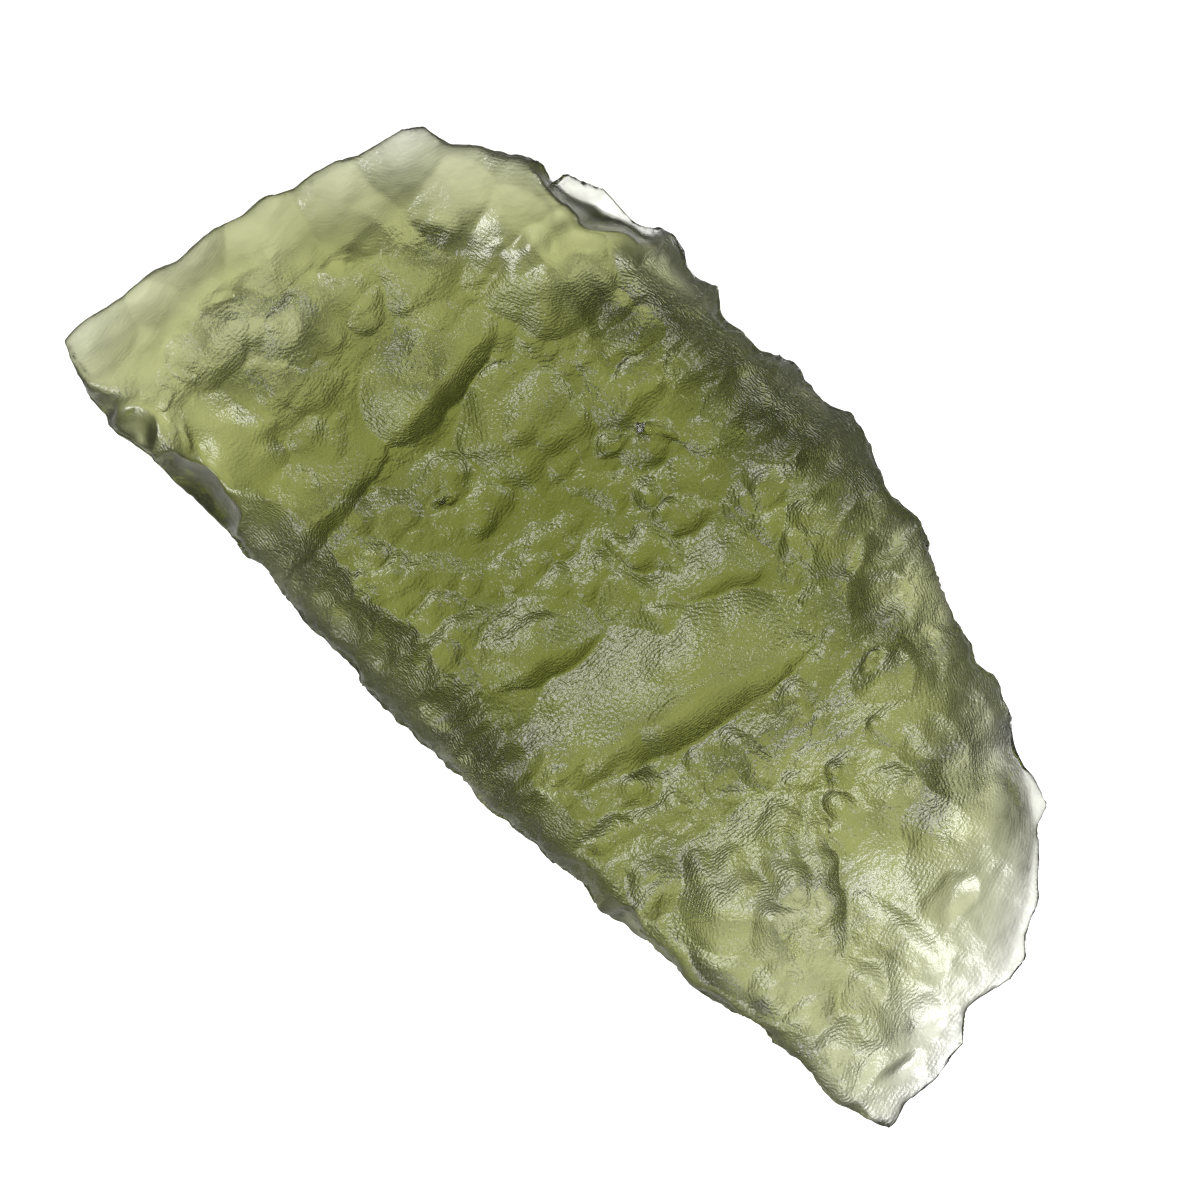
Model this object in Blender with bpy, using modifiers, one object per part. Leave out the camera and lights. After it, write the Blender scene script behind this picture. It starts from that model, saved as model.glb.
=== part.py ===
"""A rough moldavite: one lump of green natural glass, etched all over and broken at both ends.

Metres, +Z up. +X runs along the stone to its thin, pale end. The origin is on the surface that the
stone rests on, under the middle of its box.
"""

import math

import bpy
import numpy as np

MM = 0.001
GLASS_COLOUR = (0.21, 0.23, 0.075, 1.0)

# The even slab that the stone is shaped from, in millimetres: its thickness, the gap between its two
# faces once it is meshed, and the step of that mesh. Then the share of its triangles kept in the end.
SLAB = 4.0
FACE_GAP = 3.9
MESH_STEP = 0.25
TRIANGLES_KEPT = 0.165

# The stone's outline seen from above, clockwise from the lower left corner.
OUTLINE = [
    (-18.3, -9.1), (-19.5, -8.8), (-20.1, -8.5), (-20.1, -7.6), (-19.8, -6.0),
    (-19.65, -4.5), (-19.35, -3.7), (-19.3, -2.1), (-18.9, -1.0), (-18.8, 0.1),
    (-18.3, 0.9), (-18.05, 2.6), (-17.6, 3.4), (-17.2, 5.1), (-16.7, 5.75),
    (-15.7, 6.0), (-14.3, 7.05), (-12.9, 7.8), (-12.1, 7.6), (-12.1, 8.1),
    (-10.8, 8.7), (-9.1, 8.7), (-8.3, 9.2), (-7.2, 9.35), (-6.2, 9.1),
    (-5.6, 9.3), (-4.4, 8.9), (-3.1, 8.95), (-2.4, 9.35), (-1.0, 9.3),
    (0.8, 9.45), (2.1, 9.2), (3.4, 8.85), (4.8, 8.6), (6.3, 8.4),
    (7.3, 7.7), (8.6, 7.0), (9.7, 7.0), (10.2, 6.65), (11.3, 6.75),
    (13.0, 6.0), (14.0, 5.4), (15.6, 4.95), (15.9, 4.1), (16.9, 3.45),
    (18.0, 2.2), (18.45, 1.2), (19.0, 0.7), (19.15, -0.2), (18.8, -2.1),
    (19.6, -2.95), (19.8, -4.5), (19.65, -5.9), (20.05, -6.9), (19.2, -7.15),
    (18.0, -7.55), (15.8, -7.4), (14.6, -7.75), (13.3, -8.0), (11.0, -8.2),
    (8.7, -8.5), (4.9, -8.8), (2.0, -9.1), (-1.4, -9.3), (-5.2, -9.35),
    (-6.6, -9.35), (-8.0, -9.05), (-11.0, -9.15), (-14.8, -9.1), (-16.3, -9.35),
    (-17.6, -9.3),
]

# The low dome of the top: its height, its middle, and its fall per square mm along and across.
HEIGHT = 8.2
DOME_MIDDLE = (-3.0, -0.5)
DOME_FALL = (0.008, 0.010)

# Broad faces of the top: a point on the face, its height there, the way it falls, the fall per mm.
TOP_FACES = [
    (-12.5, -2.0, 6.5, 183, 0.44),
    (-9.5, 3.5, 6.7, 142, 0.42),
    (0.0, 7.2, 7.0, 92, 1.55),
    (7.0, 5.2, 6.1, 63, 0.85),
    (6.0, 0.0, 7.4, 2, 0.33),
    (4.0, -8.2, 7.2, 271, 3.20),
    (-14.0, -8.0, 5.6, 268, 1.60),
]

# How wide the ridges between the faces are rounded, on the top and on the underside.
TOP_RIDGE = 0.7
UNDER_RIDGE = 0.3

# Broad faces of the underside, told in the same way, rising instead of falling.
UNDER_FACES = [
    (-11.0, 0.0, 0.0, 180, 0.09),
    (-9.0, 5.5, 0.2, 135, 0.20),
    (0.0, 5.6, 0.1, 90, 0.50),
    (8.0, 3.5, 0.1, 60, 0.26),
    (9.0, 0.0, 0.0, 0, 0.09),
    (2.0, -6.8, 0.0, 270, 0.42),
    (12.0, -6.0, 0.2, 290, 0.20),
]

# A gentle unevenness of the top and the underside: height, shortest and longest wave, seed.
TOP_WAVES = (0.10, 5.0, 11.0, 3)
UNDER_WAVES = (0.10, 4.0, 9.0, 5)
UNDER_LIFT = 0.25

# How straight the walls of a hollow are: a round bowl, a funnel, a flat floor, or a sharp edge.
BOWL = 1.0
FUNNEL = 0.8
FLAT_FLOOR = 2.0
SHARP_EDGE = 3.0

# How far places are shifted before the troughs and the hollows are cut, so that no edge is round.
TROUGH_WARP = (0.07, 1.0, 3.2, 61)
HOLLOW_WARP = (0.18, 1.0, 3.2, 61)

# Hollows of the top: centre x, y, half length, half width, turn in degrees, depth.
TOP_HOLLOWS = [
    (-6.7, 0.9, 2.4, 2.1, 10, 1.05),
    (0.5, -0.4, 1.6, 0.95, 25, 0.55),
    (-0.7, 2.6, 1.3, 0.85, 58, 0.50),
    (-0.6, 1.1, 1.3, 0.70, 30, 0.45),
    # The left part, and the groove that runs out through the lower edge.
    (-9.6, 5.2, 2.2, 2.0, 80, 0.90),
    (-12.6, 1.8, 1.6, 1.4, 0, 0.55),
    (-13.2, -6.6, 2.3, 1.3, 5, 0.65),
    (-14.5, -1.9, 2.0, 1.3, 88, 0.65),
    (-11.3, -4.5, 1.1, 0.8, 80, 0.35),
    (-13.2, -3.6, 1.7, 1.0, 30, 0.35),
    (-16.2, -5.3, 1.5, 1.2, 45, 0.30),
    (-16.2, -3.5, 1.4, 1.0, 60, 0.25),
    (-13.4, -0.4, 1.0, 0.7, 60, 0.25),
]

# Long hollows that lean: the left wall is long and gentle, the right one short and steep.
TOP_TROUGHS = [
    (-10.6, -0.2, 3.0, 1.75, 95, 1.45),
    (2.9, -1.7, 5.6, 2.45, 75, 1.80),
    (-1.0, -3.8, 2.4, 1.45, 70, 1.05),
    (1.3, 2.1, 2.0, 1.2, 68, 0.65),
    (-10.0, -6.0, 3.3, 1.4, 95, 0.80),
    (11.2, -5.2, 4.2, 3.2, 145, 1.25),
]
TROUGH_LEAN = -0.45

# Smaller pits of the top, told in the same way. Their walls are straighter.
TOP_PITS = [
    # The etched middle below: round pits, and narrow grooves down to the lower edge.
    (-5.6, -2.2, 1.4, 1.15, 80, 0.65),
    (-3.2, -1.4, 1.5, 0.85, 85, 0.50),
    (-3.2, -3.0, 1.0, 0.9, 60, 0.45),
    (-1.5, -1.6, 1.2, 0.9, 80, 0.50),
    (-1.4, -0.7, 0.9, 0.6, 10, 0.35),
    (-8.5, -5.5, 1.0, 0.9, 60, 0.55),
    (-7.6, -4.3, 1.1, 0.8, 60, 0.45),
    (-7.5, -2.4, 1.2, 0.8, 85, 0.40),
    (-7.4, -6.0, 1.1, 0.75, 65, 0.55),
    (-6.3, -5.9, 1.2, 0.7, 70, 0.50),
    (-5.4, -5.5, 2.2, 0.8, 63, 0.65),
    (-4.3, -4.0, 0.8, 0.7, 30, 0.35),
    (-4.2, -5.5, 1.1, 0.65, 75, 0.50),
    (-3.0, -6.2, 2.0, 0.8, 85, 0.60),
    (-3.3, -7.2, 1.0, 0.7, 120, 0.55),
    (-5.9, -8.0, 1.0, 0.8, 0, 0.60),
    (-7.2, -7.6, 1.0, 0.7, 75, 0.45),
    (-4.5, -7.7, 1.2, 0.6, 85, 0.50),
    (-1.5, -7.5, 1.4, 0.7, 80, 0.60),
    (-1.9, -5.0, 1.0, 0.8, 60, 0.40),
    (0.2, -7.6, 1.3, 0.6, 88, 0.50),
    (1.6, -7.5, 1.4, 0.7, 95, 0.60),
    (3.5, -7.2, 1.6, 0.9, 100, 0.60),
    (4.8, -5.0, 1.0, 0.7, 80, 0.55),
    (5.6, -6.7, 1.2, 0.6, 65, 0.50),
    # The etched middle above, up to the fluted edge.
    (-4.9, 4.5, 1.9, 0.85, 88, 0.70),
    (-6.3, 6.0, 1.5, 0.8, 85, 0.50),
    (-7.4, 6.0, 0.9, 0.6, 80, 0.35),
    (-6.8, 3.9, 0.9, 0.6, 60, 0.30),
    (-3.1, 3.6, 0.9, 0.75, 80, 0.50),
    (-3.9, 2.7, 0.8, 0.5, 70, 0.40),
    (-2.2, 2.2, 0.75, 0.6, 0, 0.40),
    (-3.0, 1.4, 0.9, 0.6, 20, 0.35),
    (-4.2, 6.4, 1.4, 0.9, 80, 0.60),
    (-1.9, 5.4, 1.0, 0.8, 60, 0.45),
    (-2.1, 6.9, 1.4, 0.85, 80, 0.60),
    (-1.2, 3.8, 0.9, 0.7, 40, 0.35),
    (0.6, 5.4, 0.9, 0.7, 80, 0.45),
    (0.4, 4.4, 0.7, 0.6, 20, 0.35),
    (1.4, 4.6, 0.8, 0.75, 70, 0.40),
    (2.6, 6.2, 1.3, 0.8, 80, 0.50),
    (4.1, 5.7, 1.1, 0.9, 85, 0.50),
    (3.0, 4.6, 0.8, 0.7, 60, 0.30),
    (6.3, 5.6, 1.2, 0.8, 80, 0.45),
    (6.1, 2.7, 1.1, 0.9, 60, 0.40),
    (6.8, 1.1, 0.9, 0.75, 0, 0.35),
    (4.9, 7.3, 1.2, 0.6, 85, 0.40),
    (1.4, 7.4, 1.3, 0.6, 85, 0.45),
    (0.0, 7.0, 1.3, 0.6, 82, 0.45),
    # Right of the long trough: shallow pits drawn out along the stone.
    (6.9, -1.5, 1.4, 0.7, 5, 0.40),
    (6.7, -2.8, 1.5, 0.6, 5, 0.40),
    (7.2, -3.6, 1.0, 0.5, 0, 0.30),
    (6.7, -4.4, 0.8, 0.6, 60, 0.35),
    (6.2, -5.2, 0.8, 0.6, 60, 0.35),
    (8.7, -1.0, 0.9, 0.6, 30, 0.30),
    (9.7, 0.4, 0.7, 0.6, 0, 0.35),
    (10.6, -0.4, 0.75, 0.6, 140, 0.35),
    (11.2, -1.1, 0.8, 0.5, 145, 0.35),
    # The ringed pits of the sunk lower right corner, and those beside it.
    (9.2, -5.1, 1.3, 1.15, 70, 0.60),
    (10.2, -5.6, 1.8, 1.5, 0, 1.00),
    (12.0, -4.9, 1.9, 1.2, 168, 1.00),
    (11.2, -3.3, 1.2, 0.9, 160, 0.70),
    (11.7, -2.35, 2.7, 0.65, 145, 0.80),
    (10.2, -2.6, 0.9, 0.7, 0, 0.35),
    (8.0, -7.0, 1.3, 1.2, 60, 0.85),
    (13.4, -6.4, 1.1, 0.8, 30, 0.40),
    (11.6, -7.2, 1.6, 0.6, 0, 0.40),
    (15.4, -4.1, 1.35, 1.0, 170, 0.60),
    (16.6, -5.9, 0.9, 0.85, 80, 0.45),
    (15.1, -6.0, 0.9, 0.7, 60, 0.40),
    (18.8, -5.1, 1.1, 0.45, 80, 0.35),
    # The upper right.
    (8.3, 3.9, 1.2, 1.0, 80, 0.70),
    (8.6, 5.6, 0.9, 0.8, 0, 0.40),
    (11.5, 3.3, 1.5, 1.2, 10, 0.65),
    (11.1, 5.2, 1.0, 0.85, 60, 0.45),
    (11.4, 1.6, 0.95, 0.75, 60, 0.35),
    (12.9, 1.2, 0.9, 0.7, 0, 0.25),
    (9.7, 2.6, 0.9, 0.7, 60, 0.30),
    (15.5, 0.3, 1.0, 0.8, 60, 0.35),
    (15.3, -1.9, 2.1, 0.9, 5, 0.40),
]

# Scallops that the break left on the pale end and along the upper left edge.
TOP_SCALLOPS = [
    (-20.2, -7.6, 2.2, 2.1, 0, 0.60),
    (-19.6, -3.3, 2.0, 1.8, 80, 0.55),
    (-18.9, -5.2, 1.3, 1.0, 60, 0.30),
    (-17.4, -0.8, 2.1, 1.8, 20, 0.50),
    (-16.5, 1.6, 2.0, 1.8, 30, 0.55),
    (-16.3, 4.1, 1.7, 1.5, 70, 0.50),
    (-14.0, 4.6, 1.8, 1.6, 10, 0.45),
    (-12.0, 5.2, 1.7, 1.6, 10, 0.45),
    (-15.9, -8.7, 0.9, 0.8, 0, 0.35),
    (-14.9, -8.0, 1.0, 0.8, 120, 0.30),
    (19.6, -6.4, 1.2, 2.0, 20, 0.25),
    (17.6, -3.6, 1.2, 1.1, 40, 0.30),
]

# Where the stone drops to a thin clear edge: a point on the brink, the way down, the fall per mm and
# how far it falls.
TOP_RAMPS = [
    (12.6, 1.4, 30, 0.36, 2.3),
    (-10.0, 3.6, 118, 0.22, 1.5),
]

# Where chips broke off the lower and the upper left edge and left a thin floor: told like the hollows.
TOP_SHELVES = [
    (-12.7, -9.3, 1.9, 1.4, 0, 2.20),
    (-10.6, 8.3, 2.6, 1.0, 15, 2.00),
]

# Hollows of the underside.
UNDER_HOLLOWS = [
    (-15.0, -3.5, 3.2, 2.2, 70, 0.90),
    (-14.0, 3.6, 2.4, 1.9, 20, 0.80),
    (-8.6, -6.2, 2.4, 1.5, 80, 0.85),
    (-7.4, 6.0, 2.6, 1.5, 15, 0.80),
    (-0.5, 6.6, 2.2, 1.4, 80, 0.70),
    (1.0, -7.2, 2.6, 1.3, 10, 0.75),
    (6.6, 5.0, 2.3, 1.5, 30, 0.75),
    (7.9, -0.6, 3.0, 1.8, 80, 0.90),
    (8.2, -6.0, 2.0, 1.4, 20, 0.70),
    (12.4, -3.2, 2.3, 1.7, 60, 0.65),
    (12.6, 2.9, 2.2, 1.5, 140, 0.55),
    (-11.0, -0.6, 1.8, 1.4, 10, 0.70),
]

# The flat patch that the stone rests on: its middle and its half length and half width.
REST_MIDDLE = (-1.5, -0.8)
REST_HALF = (5.0, 3.2)

# Pits in the wall, and shallow upright flutes between them. The dents fade out inside the wall's
# reach, and the mean dent is given back, so that the outline stays in its place.
WALL_PITS = 60
WALL_PIT_HEIGHT = (0.5, 6.0)
WALL_PIT_WIDTH = (0.8, 1.5)
WALL_PIT_RISE = (1.0, 2.2)
WALL_PIT_DEPTH = (0.15, 0.38)
WALL_PIT_LEAN = 15.0
WALL_SEED = 17
FLUTE_DEPTH = 0.07
FLUTE_WAVES = (1.0, 1.5, 3.5, 7)
FLUTE_SLANT = 0.25
WALL_REACH = 1.6
MEAN_DENT = 0.17

# Where the wall bulges most between the top and the underside, as a share, and how wide and how far
# each is rounded down to the wall, on a late break and on the etched skin.
BULGE = 0.45
RIM_WIDTH = {"fresh": (0.20, 0.25), "etched": (0.90, 1.10)}
RIM_START = {"fresh": (0.80, 0.75), "etched": (0.45, 0.40)}

# Small pits spread over both sides: how many, the range of their radius, depth and stretch, the middle
# and the spread of their turn in degrees, and how far from the middle they lie.
SMALL_PITS = 150
SMALL_PIT_RADIUS = (0.7, 1.3)
SMALL_PIT_DEPTH = (0.14, 0.32)
SMALL_PIT_STRETCH = (1.0, 1.7)
SMALL_PIT_TURN = (82.0, 28.0)
SMALL_PIT_PLACE = (19.0, 9.0)
TOP_SEED = 11
UNDER_SEED = 23

# The least that the stone is thick, and how much of the underside's relief and of the wall's dents is
# left on a late break.
THINNEST = 0.55
FRESH_RELIEF = 0.15
FRESH_DENT = 0.30

# How deep the small pits of the top are beside the table's figures, and how straight their walls.
PIT_SHARE = 0.75
PIT_STEEPNESS = 0.75

# Where the glass broke late and was hardly etched: told like the hollows, with how fresh it is last.
FRESH_PARTS = [
    (-19.4, -6.6, 2.6, 3.6, 0, 1.0),
    (-18.8, -2.6, 2.3, 2.8, 0, 1.0),
    (-17.2, 0.9, 2.9, 2.6, 20, 1.0),
    (-15.6, 4.3, 3.2, 2.6, 30, 1.0),
    (-12.2, 5.8, 3.2, 2.4, 30, 0.9),
    (-10.2, 7.9, 2.4, 1.8, 12, 1.0),
    (-12.9, -8.9, 2.1, 1.7, 0, 1.0),
    (-16.0, -8.6, 1.2, 1.0, 0, 1.0),
    (18.2, 1.8, 4.6, 7.4, 24, 1.0),
    (18.9, -5.2, 1.3, 2.2, 10, 0.8),
    (-13.4, -6.4, 2.4, 1.6, 8, 0.5),
    (13.6, -0.6, 2.4, 1.8, 30, 0.5),
]


def clear_scene():
    """Remove every object, so that the script can run again in the same file."""
    for thing in list(bpy.data.objects):
        bpy.data.objects.remove(thing, do_unlink=True)


def glass_material():
    """Olive green glass with an etched, half matt skin."""
    material = bpy.data.materials.new("moldavite_glass")
    material.use_nodes = True
    shader = material.node_tree.nodes["Principled BSDF"]
    shader.inputs["Base Color"].default_value = GLASS_COLOUR
    shader.inputs["Roughness"].default_value = 0.35
    shader.inputs["Metallic"].default_value = 0.0
    shader.inputs["IOR"].default_value = 1.49
    return material


def outline_slab():
    """A flat slab of the stone's outline, its wall and faces meshed evenly."""
    curve = bpy.data.curves.new("outline", "CURVE")
    curve.dimensions = "2D"
    curve.fill_mode = "BOTH"
    curve.extrude = 0.5 * SLAB * MM
    spline = curve.splines.new("POLY")
    spline.points.add(len(OUTLINE) - 1)
    for point, (x, y) in zip(spline.points, OUTLINE):
        point.co = (x * MM, y * MM, 0.0, 1.0)
    spline.use_cyclic_u = True
    flat = bpy.data.objects.new("outline", curve)
    bpy.context.scene.collection.objects.link(flat)

    slab = bpy.data.objects.new("slab", evaluated_mesh(flat))
    bpy.context.scene.collection.objects.link(slab)
    weld = slab.modifiers.new("weld", "WELD")
    weld.merge_threshold = 0.00001
    even = slab.modifiers.new("even", "REMESH")
    even.mode = "VOXEL"
    even.voxel_size = MESH_STEP * MM
    mesh = evaluated_mesh(slab)
    bpy.data.objects.remove(slab, do_unlink=True)
    bpy.data.objects.remove(flat, do_unlink=True)
    return mesh


def evaluated_mesh(thing):
    """A new mesh of the object with its modifiers applied."""
    graph = bpy.context.evaluated_depsgraph_get()
    return bpy.data.meshes.new_from_object(thing.evaluated_get(graph))


def read_points(mesh):
    """The mesh's points in millimetres, one row each."""
    flat = np.empty(3 * len(mesh.vertices))
    mesh.vertices.foreach_get("co", flat)
    return flat.reshape(-1, 3) / MM


def write_points(mesh, points):
    """Give the mesh new points, told in millimetres."""
    mesh.vertices.foreach_set("co", (points * MM).ravel())
    mesh.update()


def rim_frame(x, y):
    """Where each point lies by the outline: how far inside it, how far along it, and the way inward."""
    nearest = np.full(x.shape, 1e9)
    place = np.zeros(x.shape)
    inward_x = np.zeros(x.shape)
    inward_y = np.zeros(x.shape)
    passed = 0.0
    for (ax, ay), (bx, by) in zip(OUTLINE, OUTLINE[1:] + OUTLINE[:1]):
        length = math.hypot(bx - ax, by - ay)
        along = ((x - ax) * (bx - ax) + (y - ay) * (by - ay)) / length ** 2
        along = np.clip(along, 0.0, 1.0)
        gap = np.hypot(x - ax - along * (bx - ax), y - ay - along * (by - ay))
        closer = gap < nearest
        nearest = np.where(closer, gap, nearest)
        place = np.where(closer, passed + along * length, place)
        inward_x = np.where(closer, (by - ay) / length, inward_x)
        inward_y = np.where(closer, (ax - bx) / length, inward_y)
        passed += length
    return nearest, place, inward_x, inward_y


def soft_min(a, b, blend):
    """The lower of two heights, with the ridge between them rounded over the blend."""
    mix = np.clip(0.5 + 0.5 * (b - a) / blend, 0.0, 1.0)
    return b + (a - b) * mix - blend * mix * (1.0 - mix)


def face_height(x, y, face, sign):
    """The height of one broad face, falling (sign -1) or rising (sign 1) away from its point."""
    px, py, height, turn, slope = face
    way = math.radians(turn)
    out = (x - px) * math.cos(way) + (y - py) * math.sin(way)
    return height + sign * slope * out


def hollow_depth(x, y, hollows, steepness, lean=0.0):
    """How deep the hollows cut at each point. Where two meet, the deeper one wins, with a crisp edge.

    The lean says where the deepest line lies across each one, from -1 at one edge to 1 at the other.
    """
    depth = np.zeros(x.shape)
    for px, py, half_length, half_width, turn, deepest in hollows:
        way = math.radians(turn)
        u = ((x - px) * math.cos(way) + (y - py) * math.sin(way)) / half_length
        v = ((y - py) * math.cos(way) - (x - px) * math.sin(way)) / half_width
        v = (v - lean) / np.where(v > lean, 1.0 - lean, 1.0 + lean)
        reach = np.clip(1.0 - (u * u + v * v) ** steepness, 0.0, None)
        depth = np.maximum(depth, deepest * reach)
    return depth


def ramp_depth(x, y, ramps):
    """How far the ramps have fallen at each point."""
    depth = np.zeros(x.shape)
    for px, py, turn, slope, deepest in ramps:
        out = -face_height(x, y, (px, py, 0.0, turn, slope), -1.0)
        depth += np.clip(out, 0.0, deepest)
    return depth


def etched_share(x, y):
    """How etched the skin is at each point, from 0 on a late break to 1."""
    return 1.0 - hollow_depth(x, y, FRESH_PARTS, SHARP_EDGE)


def small_pits(seed):
    """A seeded spread of small pits over the whole outline."""
    spread = np.random.default_rng(seed)
    pits = []
    for _ in range(SMALL_PITS):
        x = spread.uniform(-SMALL_PIT_PLACE[0], SMALL_PIT_PLACE[0])
        y = spread.uniform(-SMALL_PIT_PLACE[1], SMALL_PIT_PLACE[1])
        radius = spread.uniform(*SMALL_PIT_RADIUS)
        stretch = spread.uniform(*SMALL_PIT_STRETCH)
        turn = spread.normal(*SMALL_PIT_TURN)
        depth = spread.uniform(*SMALL_PIT_DEPTH)
        pits.append((x, y, radius * stretch, radius, turn, depth))
    return pits


def wall_pits(seed):
    """A seeded spread of pits around the wall: place along the outline, height, sizes and depth."""
    spread = np.random.default_rng(seed)
    around = sum(math.dist(a, b) for a, b in zip(OUTLINE, OUTLINE[1:] + OUTLINE[:1]))
    pits = []
    for _ in range(WALL_PITS):
        place = spread.uniform(0.0, around)
        height = spread.uniform(*WALL_PIT_HEIGHT)
        wide = spread.uniform(*WALL_PIT_WIDTH)
        tall = spread.uniform(*WALL_PIT_RISE)
        depth = spread.uniform(*WALL_PIT_DEPTH)
        pits.append((place, height, wide, tall, spread.normal(0.0, WALL_PIT_LEAN), depth))
    return pits


def waves(x, y, height, shortest, longest, seed):
    """A gentle unevenness: a seeded sum of a few sine waves."""
    spread = np.random.default_rng(seed)
    count = 14
    total = np.zeros(x.shape)
    for _ in range(count):
        way = spread.uniform(0.0, math.tau)
        step = spread.uniform(shortest, longest)
        start = spread.uniform(0.0, math.tau)
        along = x * math.cos(way) + y * math.sin(way)
        total += np.sin(math.tau * along / step + start)
    return height * total / math.sqrt(count)


def warped(x, y, height, shortest, longest, seed):
    """The same places, shifted sideways a little by waves, so that round outlines become uneven."""
    shift_x = waves(x, y, height, shortest, longest, seed)
    shift_y = waves(x, y, height, shortest, longest, seed + 1)
    return x + shift_x, y + shift_y


def rim_rounding(rim, width, start):
    """From start at the outline up to 1 at the width inside it, steepest at the outline."""
    inward = np.clip(rim / width, 0.0, 1.0)
    return start + (1.0 - start) * np.sqrt(1.0 - (1.0 - inward) ** 2)


def top_height(x, y):
    """The stone's upper surface, in millimetres above the surface it rests on."""
    height = HEIGHT - DOME_FALL[0] * (x - DOME_MIDDLE[0]) ** 2
    height = height - DOME_FALL[1] * (y - DOME_MIDDLE[1]) ** 2
    for face in TOP_FACES:
        height = soft_min(height, face_height(x, y, face, -1.0), TOP_RIDGE)
    height = height + waves(x, y, *TOP_WAVES)
    wx, wy = warped(x, y, *TROUGH_WARP)
    height = height - hollow_depth(wx, wy, TOP_TROUGHS, FUNNEL, TROUGH_LEAN)
    wx, wy = warped(x, y, *HOLLOW_WARP)
    height = height - hollow_depth(wx, wy, TOP_HOLLOWS, BOWL)
    height = height - PIT_SHARE * hollow_depth(wx, wy, TOP_PITS, PIT_STEEPNESS)
    height = height - hollow_depth(x, y, TOP_SCALLOPS, FUNNEL)
    height = height - ramp_depth(x, y, TOP_RAMPS)
    height = height - hollow_depth(wx, wy, TOP_SHELVES, FLAT_FLOOR)
    return height - etched_share(x, y) * hollow_depth(x, y, small_pits(TOP_SEED), BOWL)


def rest_share(x, y):
    """1 over the flat patch that the stone rests on, fading to 0 around it."""
    u = (x - REST_MIDDLE[0]) / REST_HALF[0]
    v = (y - REST_MIDDLE[1]) / REST_HALF[1]
    return 1.0 - np.clip((u * u + v * v) - 1.0, 0.0, 1.0)


def under_height(x, y):
    """The stone's underside, with the flat patch that it rests on at height 0."""
    height = np.zeros(x.shape)
    for face in UNDER_FACES:
        height = -soft_min(-height, -face_height(x, y, face, 1.0), UNDER_RIDGE)
    relief = waves(x, y, *UNDER_WAVES)
    relief = relief + hollow_depth(x, y, UNDER_HOLLOWS, BOWL)
    relief = relief + hollow_depth(x, y, small_pits(UNDER_SEED), BOWL)
    share = FRESH_RELIEF + (1.0 - FRESH_RELIEF) * etched_share(x, y)
    lift = UNDER_LIFT + share * relief
    return height + (1.0 - rest_share(x, y)) * np.clip(lift, 0.0, None)


def shape_stone(mesh):
    """Turn the even slab into the stone: its faces, hollows, pits and rounded, fluted rim."""
    points = read_points(mesh)
    x, y = points[:, 0], points[:, 1]
    up = np.clip(points[:, 2] / FACE_GAP + 0.5, 0.0, 1.0)
    rim, place, inward_x, inward_y = rim_frame(x, y)
    etched = etched_share(x, y)
    top = top_height(x, y)
    under = under_height(x, y)
    lack = np.clip(THINNEST - (top - under), 0.0, None)
    top = top + 0.5 * lack
    under = under - 0.5 * lack
    middle = BULGE * top + (1.0 - BULGE) * under
    width = [low + (high - low) * etched for low, high in zip(*RIM_WIDTH.values())]
    start = [low + (high - low) * etched for low, high in zip(*RIM_START.values())]
    top = middle + (top - middle) * rim_rounding(rim, width[0], start[0])
    under = middle + (under - middle) * rim_rounding(rim, width[1], start[1])
    height = under + (top - under) * up

    flutes = FLUTE_DEPTH * (1.0 + waves(place, FLUTE_SLANT * height, *FLUTE_WAVES))
    dent = flutes + hollow_depth(place, height, wall_pits(WALL_SEED), BOWL)
    dent = (dent - MEAN_DENT) * (FRESH_DENT + (1.0 - FRESH_DENT) * etched)
    dent = dent * np.clip(1.0 - rim / WALL_REACH, 0.0, 1.0) ** 2
    points[:, 0] = x + inward_x * dent
    points[:, 1] = y + inward_y * dent
    points[:, 2] = height
    write_points(mesh, points)


def centre_mesh(mesh):
    """Move the mesh so that its box stands on the origin."""
    points = read_points(mesh)
    low = points.min(axis=0)
    high = points.max(axis=0)
    points -= ((low[0] + high[0]) / 2, (low[1] + high[1]) / 2, low[2])
    write_points(mesh, points)


def build_stone(collection):
    """The whole stone as one closed solid."""
    mesh = outline_slab()
    mesh.name = "moldavite"
    shape_stone(mesh)
    centre_mesh(mesh)
    stone = bpy.data.objects.new("moldavite", mesh)
    stone.data.materials.append(glass_material())
    collection.objects.link(stone)
    fewer = stone.modifiers.new("fewer", "DECIMATE")
    fewer.decimate_type = "COLLAPSE"
    fewer.ratio = TRIANGLES_KEPT
    fewer.use_collapse_triangulate = True
    return stone


def main():
    clear_scene()
    collection = bpy.data.collections.new("moldavite")
    bpy.context.scene.collection.children.link(collection)
    build_stone(collection)


main()
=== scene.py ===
"""A rough moldavite, seen from straight above on a lit table.

One piece, the stone, which replaces the CAD solid of the same form. Its outline, broad faces, hollows
and wall are the solid's own; the finer pits, chips and flutes are added here. Sizes in the tables are
in millimetres, in the frame that the solid was drawn in, and the finished mesh is fitted to the
solid's box.
"""

import itertools
import math

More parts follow.
